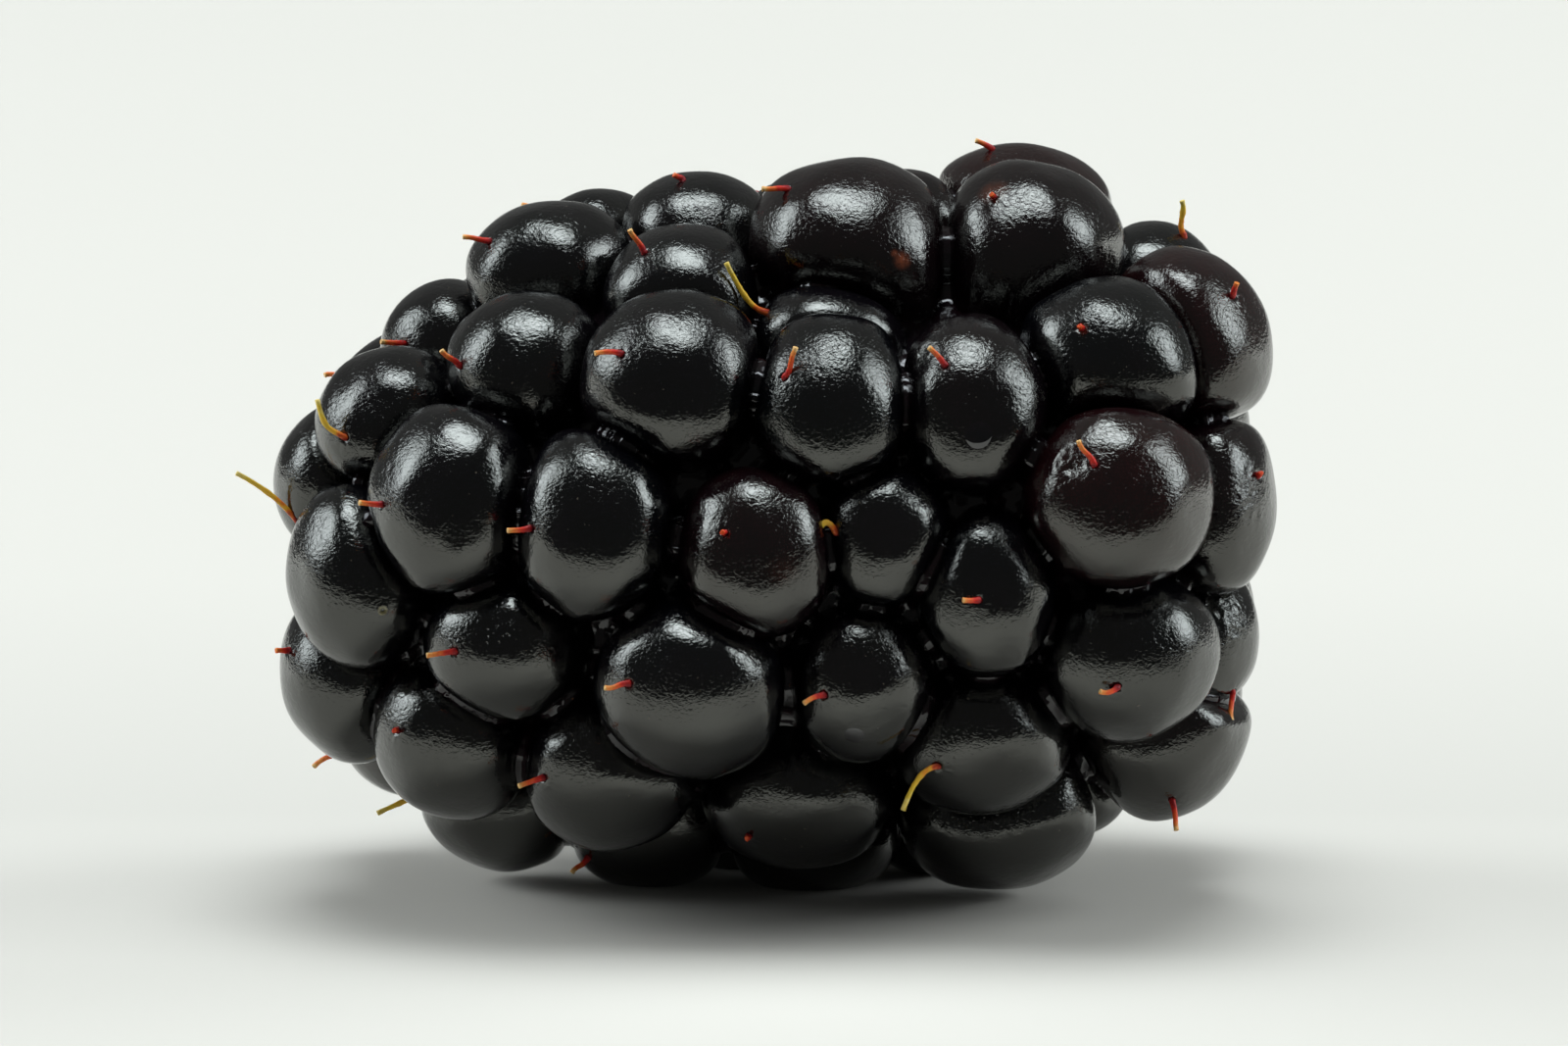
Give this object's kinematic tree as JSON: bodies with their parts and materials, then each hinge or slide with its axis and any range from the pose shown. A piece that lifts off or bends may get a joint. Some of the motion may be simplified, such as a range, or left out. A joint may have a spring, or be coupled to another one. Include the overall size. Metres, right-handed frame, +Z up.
{
  "type": "bramble berry",
  "caption": "Ripe bramble berry as picked, lying on its side: a crowd of glossy, blue-black drupelets, most with a dried style.",
  "frame": {"origin": "on the surface that the berry lies on, under the middle of its box", "axes": "+Z up; the berry's tip points along -X and its stem end along +X; the picture's side faces -Y"},
  "size_m": [0.0264, 0.0189, 0.0187],
  "materials": {
    "berry_skin": "glossy, near-black skin with a blue cast, reddish brown on a few drupelets, and finely wrinkled"
  },
  "bodies": {
    "root": {"berry": "berry_skin"}
  },
  "joints": []
}
